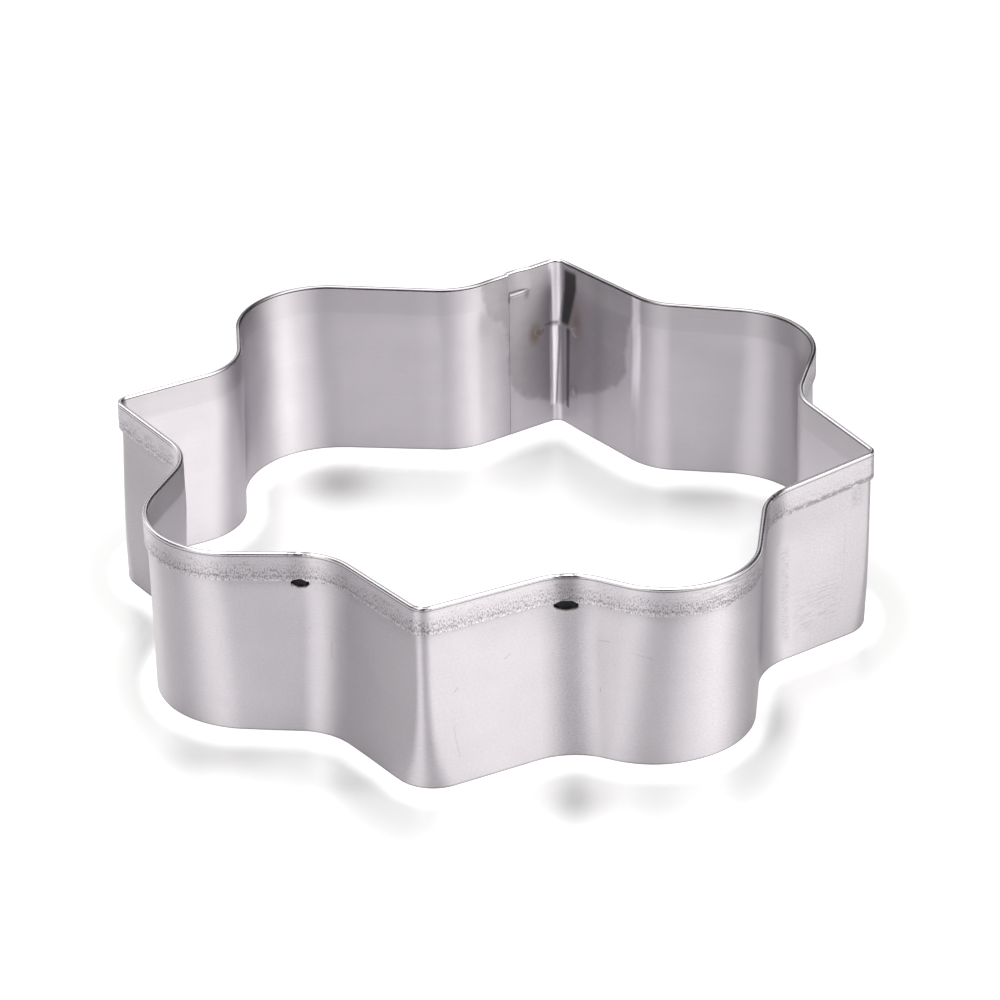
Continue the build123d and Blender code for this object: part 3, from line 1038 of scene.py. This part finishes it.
def wall_finish(tree, at):
    """Ground, welder's marks, painted light, wear, painted hollow and foot shade, and tint."""
    cloud = sheet_noise(tree, at, wall_cloud_scale, wall_cloud_scale, 3.0)
    turn_back = ring_walk[lip_end]
    outside = remap(tree, at["walk"], turn_back - face_blend, turn_back + face_blend)
    inside = calc(tree, "SUBTRACT", 1.0, outside)
    shade, patch = welder_marks_and_painted_light(tree, at, inside,
                                wall_ground(tree, at, cloud, outside, inside))
    shade = outer_wear(tree, at, outside, shade)
    painted_hollow_shade = product(tree, remap(tree, at["hollow"], *hollow_shadow), outside)
    brown = 0.0
    for *shape, amount in tints:
        brown = calc(tree, "MAXIMUM", product(tree, spot(tree, at, *shape), amount), brown)
    shade = shaded(tree, shade, (painted_hollow_shade, hollow_shade_tone),
                   (remap(tree, at["height"], *foot_shade_heights), foot_shade_tone), (brown, tint_tone))
    rough = calc(tree, "MULTIPLY_ADD", remap(tree, at["height"], *under_hem), under_hem_rough,
                 spread(tree, cloud, *rough_range))
    return shade, calc(tree, "MULTIPLY_ADD", patch, patch_rough, rough), brown


wall_steel = steel("wall_steel", 0.45, 0.9, wall_finish)
print("wall finish", len(wall_steel.node_tree.nodes), "nodes")


# %% [markdown]
# ## The fold
# Folding stretches the steel, so the hem is more worn than the wall: a stipple in its lower
# half, and a lip torn on the right flank. Its finish also paints a broken highlight along the lip,
# painted shade over the bends and the front tip, and a dark line of painted shade just below the
# crest. The lip runs at one walk round the section, so its marks are windows of that walk, each
# broken up by small marks.

# %% The hem's finish
# Painted shade on the hem where it passes a bend or the front tip, as the wall's reflections
# are darker there; the crest uses the same places for its crinkles: middle, half the length, how
# much darker
darker_bends = ((138.5, 2.2, -0.12), (159.6, 1.1, -0.10), (178.4, 2.2, -0.30), (220.5, 2.2, -0.12))
lip_walk = ring_walk[lip_start]
# Round the lip: a broken painted highlight on its edge, and a darker line on the flap above it.
# Each: kind, from and to round the section, softness, how much brighter
lip_light_and_marks = (("lip highlight", lip_walk - 0.30, lip_walk + 0.25, 0.10, 0.22),
            ("under the lip", lip_walk - 0.75, lip_walk - 0.35, 0.12, -0.25))
hem_cloud_scales, hem_cloud_range, hem_line_range = (0.5, 0.8), (0.93, 1.07), (-0.08, 0.08)
hem_line_fineness, hem_rough_range = 7.0, (0.9, 1.15)
# The right flank's stretch, where the stipple is fainter and the lip is torn
flank_stretch, flank_stipple, torn_walk, torn_tone = (222.0, 238.5, 2.0), -0.65, (
    lip_walk - 0.55, lip_walk + 0.15, 0.15), -0.45
# The stipple starts between these walks, less or more by its wander
stipple_start, stipple_wander, stipple_tone, dot_tone = (
    crest_end + 0.6, crest_end + 2.4), 0.9, -0.48, -0.34
dragged_stretch, dragged_tone = (192.0, 209.0, 5.0), -0.28
# Painted shade: a dark line on the flap just below the crest
crest_shadow, crest_shadow_tone = (crest_end - 0.02, crest_end + 0.22, 0.06), -0.45
hem_brown_scales, hem_brown = (0.3, 0.5), (0.55, 0.75, 0.0, 0.12)


def hem_finish(tree, at):
    """Roll lines near the crest, a stipple, painted shade and a lip with a painted highlight."""
    cloud = sheet_noise(tree, at, *hem_cloud_scales, 3.0)
    shade = calc(tree, "ADD", spread(tree, cloud, *hem_cloud_range),
                 spread(tree, roll_lines(tree, at, hem_line_fineness), *hem_line_range))
    flank = window(tree, at["along"], *flank_stretch)
    uneven = calc(tree, "ADD", at["walk"],
                  remap(tree, cloud, 0.3, 0.7, -stipple_wander, stipple_wander, False))
    lower = product(tree, remap(tree, uneven, *stipple_start),
                    calc(tree, "MULTIPLY_ADD", flank, flank_stipple, 1.0))
    shade = shaded(tree, shade, (product(tree, marks(tree, at, "stipple"), lower), stipple_tone),
                   (marks(tree, at, "dots"), dot_tone))
    for middle, half, amount in darker_bends:
        shade = shaded(tree, shade, (near(tree, at, middle, half, half * 0.8), amount))
    for kind, low, high, softness, amount in lip_light_and_marks:
        zone = window(tree, at["walk"], low, high, softness)
        shade = shaded(tree, shade, (product(tree, marks(tree, at, kind), zone), amount))
    dragged = product(tree, marks(tree, at, "dragged"),
                      window(tree, at["along"], *dragged_stretch))
    torn = product(tree, marks(tree, at, "torn lip"), window(tree, at["walk"], *torn_walk), flank)
    below_crest = window(tree, at["walk"], *crest_shadow)
    shade = shaded(tree, shade, (dragged, dragged_tone), (torn, torn_tone),
                   (below_crest, crest_shadow_tone))
    brown = remap(tree, sheet_noise(tree, at, *hem_brown_scales), *hem_brown)
    return shade, spread(tree, cloud, *hem_rough_range), brown


hem_steel = steel("hem_steel", 0.43, 0.9, hem_finish)
print("hem finish", len(hem_steel.node_tree.nodes), "nodes")

# %% [markdown]
# ## The crest and the welds
# The crest is what a hand presses and a cloth wipes, so it is the smoothest steel, and it needs
# no smeared highlight. Its finish paints it darker behind and along its inner edge, as painted
# shade. The welds were molten: their steel is blotched and brown. Both get short finishes of
# their own.

# %% The crest's and the weld's finishes
# Painted shade on the crest's stretches behind: from, to, how much darker
far_crest_shade = ((9.0, 54.0, -0.55), (262.0, 315.0, -0.55))
# A dark line of painted shade along the crest's inner edge: walk limits and softness, how much
crest_range, inner_edge_shade, inner_edge_shade_tone = (1.0, 1.2), (
    crest_start - 0.4, crest_start + 0.2, 0.1), -0.5
crinkle_walk, crinkle_tone = (crest_end - 0.75, crest_end + 0.3, 0.15), -0.7


def crest_finish(tree, at):
    """Roll lines, painted shade behind and at the inner edge, crinkles at bends and front tip."""
    lines = roll_lines(tree, at, wall_line_fineness)
    shade = shaded(tree, spread(tree, lines, *crest_range),
                   (window(tree, at["walk"], *inner_edge_shade), inner_edge_shade_tone))
    for low, high, amount in far_crest_shade:
        shade = shaded(tree, shade,
                       (window(tree, at["along"], low, high, stretch_softness), amount))
    crinkled = product(tree, marks(tree, at, "crinkles"), window(tree, at["walk"], *crinkle_walk))
    for middle, half, _ in darker_bends:
        bend = near(tree, at, middle, half, half / 2)
        shade = shaded(tree, shade, (product(tree, bend, crinkled), crinkle_tone))
    return shade, remap(tree, lines, 0.3, 0.7, 0.9, 1.1), 0.0


def weld_finish(tree, at):
    """Heat-tinted steel in blotches about a millimetre wide."""
    blotch = noise(tree, at["place"], 900.0, 3.0)
    return (remap(tree, blotch, 0.35, 0.65, 0.55, 0.75), remap(tree, blotch, 0.3, 0.7, 1.0, 1.4),
            remap(tree, blotch, 0.4, 0.6, 0.35, 0.0))


crest_steel = steel("crest_steel", 0.22, 0.0, crest_finish)
weld_steel = steel("weld_steel", 0.40, 0.0, weld_finish)
for material in (wall_steel, hem_steel, crest_steel):
    strip_mesh.materials.append(material)
face_walk = np.append(walks[quads].mean(axis=1), [walks[cap].mean() for cap in caps])
surface = np.zeros(len(faces), dtype=np.int32)
surface[(face_walk > crest_end) & (face_walk < ring_walk[lip_end])] = 1
surface[(face_walk > crest_start) & (face_walk < crest_end)] = 2
strip_mesh.polygons.foreach_set("material_index", surface)
strip_mesh.update()
print("faces by finish", np.bincount(surface))

# %% [markdown]
# ## The spot welds
# Two copper electrodes squeeze the layers and a pulse of current melts a small lens between
# them. Each leaves a shallow dish with a raised ring and a brown bloom round it. A cylinder with
# a bevel would look turned, not pressed. The pieces here go through both layers, as the packed
# solids do, and their two ends are the dishes: a profile turned about the electrodes' line.

# %% The shape of a weld
weld_radius, weld_rings, weld_spokes = 0.95, 12, 32
ring_rise, ring_place, ring_width = 0.008, 0.72, 0.16      # the raised ring, by share of radius
rim_fall, rim_place, rim_width = 0.012, 0.86, 0.14         # the edge that sinks into the sheet
spokes = np.arange(weld_spokes) * 2 * pi / weld_spokes
near_tip = (np.abs(from_seam) < inner_reach) & (along > tip_along / 2)


def on_wall(reach, height):
    """The inner wall's place and outward way, at a distance from the rear tip and a height."""
    column = np.argmin(np.abs(np.where(near_tip, from_seam, np.inf) - reach))
    wall = main_points[column, :len(wall_rows)]
    place = np.array([np.interp(height, wall_rows, wall[:, way]) for way in (0, 1)] + [height])
    place[:2] -= plan_middle
    return place, np.append(main_lines["rim"][1][column], 0)


def dish(share):
    """How far a weld's end stands proud at a share of its radius: a raised ring, then a dip."""
    ring_here = np.exp(-((share - ring_place) / ring_width) ** 2)
    return ring_rise * ring_here - rim_fall * smooth((share - rim_place) / rim_width)


def weld_surface(centre, out):
    """Points and faces of a weld: two dishes, turned away from each other, on the two layers.

    A point is the centre, plus the radius times its share along a spoke, plus the
    dish's height along the way out. A pole closes each end.
    """
    side = np.array((-out[1], out[0], 0))
    spoke_ways = np.cos(spokes)[:, None] * side + np.sin(spokes)[:, None] * np.array((0, 0, 1))
    share, thick = np.linspace(0, 1, weld_rings + 1)[1:], lap_step + sheet
    shares = np.concatenate((share, share[::-1]))[:, None, None]
    lifts = np.concatenate((-dish(share), thick + dish(share[::-1])))[:, None, None]
    rings = centre + spoke_ways[None] * shares * weld_radius + out * lifts
    poles = centre + out * np.array((-dish(0.0), thick + dish(0.0)))[:, None]
    numbers = numbered(rings, 0)
    around = np.roll(numbers, -1, axis=1)
    first_pole, last_pole = np.full((2, weld_spokes), numbers.size) + np.array(((0,), (1,)))
    fans = np.concatenate((np.stack((first_pole, around[0], numbers[0]), 1),
                           np.stack((last_pole, numbers[-1], around[-1]), 1)))
    return np.vstack((rings.reshape(-1, 3), poles)), tube(numbers).tolist() + fans.tolist()


print("a dish rises by up to", round(float(dish(np.linspace(0, 1, 50)).max()), 4), "mm")

# %% Spot welds
# Each weld's distance from the rear tip, past it or before it, and its height
welds = {"spot_weld_upper_left": (2.9, 15.0), "spot_weld_upper_right": (-3.2, 15.0),
         "spot_weld_lower_right": (-3.2, 5.8)}
for name, (reach, height) in welds.items():
    centre, out = on_wall(reach, height)
    weld_points, weld_faces = weld_surface(centre, out)
    weld_mesh = bpy.data.meshes.new(name + "_nugget")
    weld_mesh.from_pydata(weld_points * MM, [], weld_faces)
    open_edges, _ = closed_skin(weld_mesh)
    weld_mesh.shade_smooth()
    weld_mesh.materials.append(weld_steel)
    weld = in_scene(name + "_nugget", weld_mesh)
    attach(weld, "root")
    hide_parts(name)
    print(name, "centre", np.round(centre, 2), "open edges", open_edges)

# %% [markdown]
# ## The table
# The cutter stands on a white table. In a catalogue picture the ground is cleaned to white round
# the object and keeps a few soft pools where it mirrors the dark bends. A shadow alone would not
# give either, so both are painted into the table's glow. A fine grid near the cutter stores, for
# each of its points, how far it appears from the foot and how deep a painted pool of shade is
# there. The glow follows these numbers: a painted white halo round the foot, a painted grey
# shadow a little further out, white beyond, less where a pool lies.

# %% The table's grid
span, near_span, cells = 6.0, 0.12, 200
grid_level, sheet_level, beyond_grid = -1e-5, -2e-5, 999.0
across = np.linspace(-near_span, near_span, cells + 1)
grid = np.stack([*np.meshgrid(across, across, indexing="ij"),
                 np.full((cells + 1,) * 2, grid_level)], axis=-1)
corner = numbered(grid, 0)
grid = grid.reshape(-1, 3)
grid_faces = np.stack((corner[:-1, :-1], corner[1:, :-1], corner[1:, 1:], corner[:-1, 1:]),
                      axis=-1).reshape(-1, 4)
wide = [(x * span, y * span, sheet_level) for x, y in ((-1, -1), (1, -1), (1, 1), (-1, 1))]
table_mesh = bpy.data.meshes.new("table")
table_mesh.from_pydata(np.vstack((grid, wide)), [],
                       grid_faces.tolist() + [list(range(len(grid), len(grid) + len(wide)))])
# Painted pools of shade, for where the table mirrors a dark bend: place in pixels, half widths,
# depth
pools = ((77, 303, 26, 22, 0.52), (-160, -16, 36, 18, 0.55), (195, -6, 48, 17, 0.36),
         (10, -52, 55, 11, 0.16), (272, 222, 20, 24, 0.42), (-275, 256, 52, 15, 0.28),
         (-150, 284, 34, 13, 0.20), (-354, 140, 10, 55, 0.16))


def in_picture(places):
    """Where places appear, in pixels: the camera's axes, then a division by the distance."""
    seen = places @ to_camera.T + table_centre
    return focal_pixels * seen[:, :2] / seen[:, 2:]


foot = np.concatenate([rings[:, (0, -1)].reshape(-1, 3) for rings in (main_points, tab_points)])
foot_seen = in_picture((foot - np.append(plan_middle, 0)) * MM)
grid_seen = in_picture(grid)
gap = np.concatenate([np.linalg.norm(row[:, None] - foot_seen[None, ::2], axis=-1).min(axis=1)
                      for row in grid_seen.reshape(cells + 1, -1, 2)])
pool = sum(depth * np.exp(-((grid_seen - (x, y)) ** 2 / (wide_by ** 2, tall_by ** 2)).sum(axis=1))
           for x, y, wide_by, tall_by, depth in pools)
keep_values(table_mesh, gap=np.append(gap, np.full(len(wide), beyond_grid)),
            pool=np.append(pool, np.zeros(len(wide))))
table = in_scene("table", table_mesh)
print("table", span * 2, "m wide, grid points", len(grid))

# %% The table's finish
# Pixels from the foot over which the painted white halo fades in, and from where the table is
# white; between them a lower glow paints a grey shadow
halo_gap, white_gap = (27.0, 9.0), (34.0, 90.0)
# Glows: a painted grey shadow and pools, the painted halo, white far off, and for reflections a
# glow with a painted shadow near the foot
grey_glow, halo_glow, white_glow, mirrored_glow, mirrored_painted_shadow = 0.60, 0.60, 0.35, 0.86, -0.20
matt_tone, gloss_share, gloss_roughness = 0.25, 0.30, 0.3
table_finish = bpy.data.materials.new("white_table")
table_finish.use_nodes = True
tree = table_finish.node_tree
tree.nodes.clear()
gap_here, pool_here = (node(tree, "Attribute", attribute_name=title).outputs["Fac"]
                       for title in ("gap", "pool"))
in_halo, far_off = remap(tree, gap_here, *halo_gap), remap(tree, gap_here, *white_gap)
pooled = calc(tree, "SUBTRACT", grey_glow, pool_here)
seen = calc(tree, "MULTIPLY_ADD", in_halo, halo_glow,
            calc(tree, "MULTIPLY_ADD", far_off, white_glow, pooled))
mirrored = calc(tree, "MULTIPLY_ADD", in_halo, mirrored_painted_shadow, mirrored_glow)
chosen = node(tree, "Mix", {0: node(tree, "LightPath").outputs["Is Camera Ray"], 2: mirrored,
                            3: seen}).outputs[0]
matt = node(tree, "BsdfDiffuse", {"Color": (matt_tone,) * 3 + (1,)}).outputs[0]
glow = node(tree, "Emission", {"Color": (1, 1, 1, 1), "Strength": chosen}).outputs[0]
lit = node(tree, "AddShader", {0: matt, 1: glow}).outputs[0]
gloss = node(tree, "BsdfGlossy", {"Color": (1, 1, 1, 1),
                                  "Roughness": gloss_roughness}).outputs[0]
node(tree, "OutputMaterial", {0: node(tree, "MixShader", {0: gloss_share, 1: lit,
                                                          2: gloss}).outputs[0]})
table_mesh.materials.append(table_finish)
table_finish.cycles.emission_sampling = "NONE"
print("table finish", len(tree.nodes), "nodes")

# %% [markdown]
# ## The ring of light
# Steel shows little but its surroundings. The real one stood among soft boxes and grey cards:
# bright on the camera's right, paler on its left, dark behind the camera and to the rear. Single
# area lights would leave hard-edged reflections. The ring is a dome of its own, which only
# reflections and soft light see, with its brightness given round the bearing and up the climb.

# %% The dome
ring_radius, dome_spokes, dome_levels, top_opening = 2.0, 96, 25, 0.02
bearing, climb = np.meshgrid(np.linspace(-pi, pi, dome_spokes + 1)[:-1],
                             np.linspace(0, pi / 2 - top_opening, dome_levels))
dome_points = ring_radius * np.stack((np.cos(climb) * np.cos(bearing),
                                      np.cos(climb) * np.sin(bearing), np.sin(climb)), axis=-1)
numbers = numbered(dome_points, 0)
around = np.roll(numbers, -1, axis=1)
dome_faces = np.stack((numbers[:-1], around[:-1], around[1:], numbers[1:]),
                      axis=-1).reshape(-1, 4).tolist()
dome_faces.append(numbers[-1].tolist())
dome_mesh = bpy.data.meshes.new("soft_boxes")
dome_mesh.from_pydata(dome_points.reshape(-1, 3), [], dome_faces)
dome = in_scene("soft_boxes", dome_mesh)
dome.visible_camera = dome.visible_shadow = dome.visible_transmission = False
print("ring of", len(dome_faces), "panels")

# %% Boxes and cards round the ring
# Bearing in degrees, and how bright the ring is there
ring_levels = ((-180, 0.10), (-165, 0.15), (-152, 0.15), (-137, 1.1), (-120, 1.5), (-106, 0.9),
               (-93, 0.05), (-74, 0.05), (-60, 0.65), (-46, 1.25), (-30, 1.6), (-15, 2.5),
               (0, 1.9), (14, 0.85), (28, 0.20), (40, 0.05), (80, 0.05), (95, 0.5), (107, 0.6),
               (122, 0.3), (136, 0.85), (150, 1.7), (164, 0.8), (174, 0.10), (180, 0.10))
brightest, warmth = 4.0, 0.05            # the ramp's own limit, and how much blue a box lacks
# The ring's brightness climbs: from and to this share of the radius, by these factors
ring_climb = (0.02, 0.55, 0.20, 1.95)
top_from, top_to, top_level = 0.80, 0.97, 1.2
boxes = bpy.data.materials.new("soft_boxes")
boxes.use_nodes = True
tree = boxes.node_tree
tree.nodes.clear()
place = node(tree, "SeparateXYZ", {0: node(tree, "TexCoord").outputs["Object"]})
turn = calc(tree, "MULTIPLY_ADD", calc(tree, "ARCTAN2", place.outputs[1], place.outputs[0]),
            0.5 / pi, 0.5)
ramp = node(tree, "ValToRGB", {0: turn})
ramp.color_ramp.interpolation = "EASE"
while len(ramp.color_ramp.elements) < len(ring_levels):
    ramp.color_ramp.elements.new(0.5)
for element, (bearing_degrees, level) in zip(ramp.color_ramp.elements, ring_levels):
    share = level / brightest
    element.position = bearing_degrees / 360 + 0.5
    element.color = (share, share, share * (1 - warmth * min(level / 2, 1)), 1)
height = calc(tree, "DIVIDE", place.outputs[2], ring_radius)
ring_colour = node(tree, "VectorMath", {0: ramp.outputs[0],
                                        3: remap(tree, height, *ring_climb, False)},
                   operation="SCALE").outputs[0]
room = node(tree, "Mix", {0: remap(tree, height, top_from, top_to), 6: ring_colour,
                          7: (top_level,) * 3 + (1,)}, data_type="RGBA").outputs[2]
light = node(tree, "Emission", {"Color": room, "Strength": brightest}).outputs[0]
node(tree, "OutputMaterial", {0: light})
dome_mesh.materials.append(boxes)
boxes.cycles.emission_sampling = "NONE"
print("ring levels", len(ring_levels), "brightest", max(level for _, level in ring_levels))

# %% The room beyond
# Plain white, for what the camera sees past the table and for the light over the dome's top.
world = bpy.data.worlds.new("white_room")
world.use_nodes = True
background = world.node_tree.nodes["Background"]
plugged(world.node_tree, background, {"Color": (1, 1, 1, 1), "Strength": 1.0})
bpy.context.scene.world = world
print("world", world.name)
